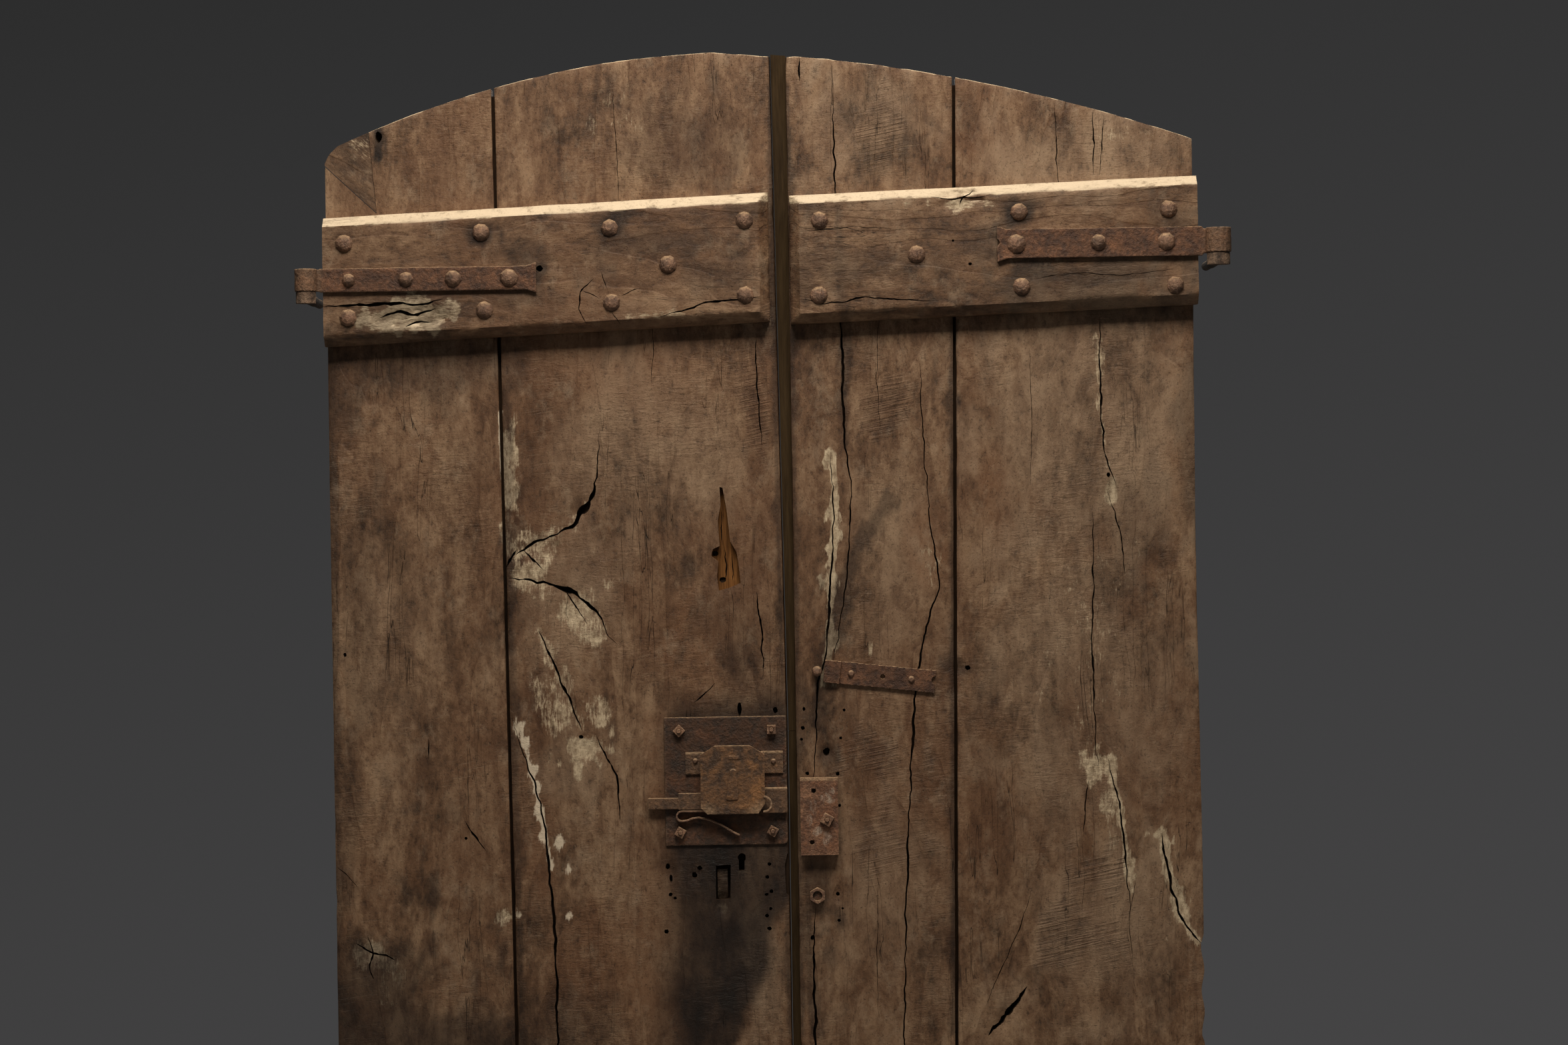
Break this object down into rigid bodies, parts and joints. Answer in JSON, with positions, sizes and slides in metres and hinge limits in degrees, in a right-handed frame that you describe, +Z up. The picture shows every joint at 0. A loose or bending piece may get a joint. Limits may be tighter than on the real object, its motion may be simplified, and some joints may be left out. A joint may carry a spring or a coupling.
{
  "type": "arched wooden door",
  "caption": "Arched plank door in two leaves with bevelled battens, forged strap hinges on wall pintles, clenched nails and an open rim lock with sliding bolt.",
  "frame": {"origin": "on the floor, midway between the outer sides of the hinge eyes, at the middle of the depth", "axes": "+Z up, the front of the door faces -Y, +X to the right seen from the front"},
  "size_m": [1.226, 0.1663, 2],
  "materials": {
    "old_wood": "weathered, oiled by use, cracked",
    "pale_wood": "weathered",
    "dark_wood": "dirty",
    "rusty_iron": "rusted",
    "forged_nails": "rusted, hammered",
    "dark_iron": "blackened"
  },
  "bodies": {
    "pintles": {"pintle_left_upper": "dark_iron", "pintle_left_lower": "dark_iron", "pintle_right_upper": "dark_iron", "pintle_right_lower": "dark_iron"},
    "left_leaf": {"plank_left_outer": "old_wood", "plank_left_inner": "old_wood", "corner_patch": "pale_wood", "mortise_plug": "dark_wood", "batten_left_top": "old_wood", "batten_left_bottom": "old_wood", "batten_nails_left_top": "forged_nails", "batten_nails_left_bottom": "forged_nails", "strap_left_top": "rusty_iron", "strap_left_bottom": "rusty_iron", "strap_nails_left_top": "forged_nails", "strap_nails_left_bottom": "forged_nails", "lock_plate": "rusty_iron", "lock_plate_bolts": "rusty_iron", "lock_plate_nuts": "rusty_iron", "lock_bridge": "rusty_iron", "lock_bridge_rivets": "rusty_iron", "lock_cover": "rusty_iron", "lock_bolt_guide": "rusty_iron", "lock_spring": "rusty_iron"},
    "right_leaf": {"plank_right_inner": "old_wood", "plank_right_outer": "old_wood", "meeting_tongue": "old_wood", "batten_right_top": "old_wood", "batten_right_bottom": "old_wood", "batten_nails_right_top": "forged_nails", "batten_nails_right_bottom": "forged_nails", "strap_right_top": "rusty_iron", "strap_right_bottom": "rusty_iron", "strap_nails_right_top": "forged_nails", "strap_nails_right_bottom": "forged_nails", "keeper": "rusty_iron", "keeper_bolt": "rusty_iron", "keeper_nut": "rusty_iron", "hasp": "rusty_iron", "hasp_rivets": "rusty_iron", "ball_stud": "rusty_iron", "hex_bolt": "rusty_iron", "hex_nut": "rusty_iron"},
    "lock_bolt": {"lock_bolt": "rusty_iron"}
  },
  "joints": [
    {"name": "left_leaf_swing", "type": "hinge", "parent": "pintles", "child": "left_leaf", "pos_m": [-0.59792, -0.06408, 1], "axis": [0, 0, -1], "range_deg": [0, 170]},
    {"name": "right_leaf_swing", "type": "hinge", "parent": "pintles", "child": "right_leaf", "pos_m": [0.59592, -0.06608, 1], "axis": [0, 0, 1], "range_deg": [0, 170]},
    {"name": "lock_bolt_slide", "type": "slide", "parent": "left_leaf", "child": "lock_bolt", "axis": [1, 0, 0], "range_m": [0, 0.035]}
  ]
}
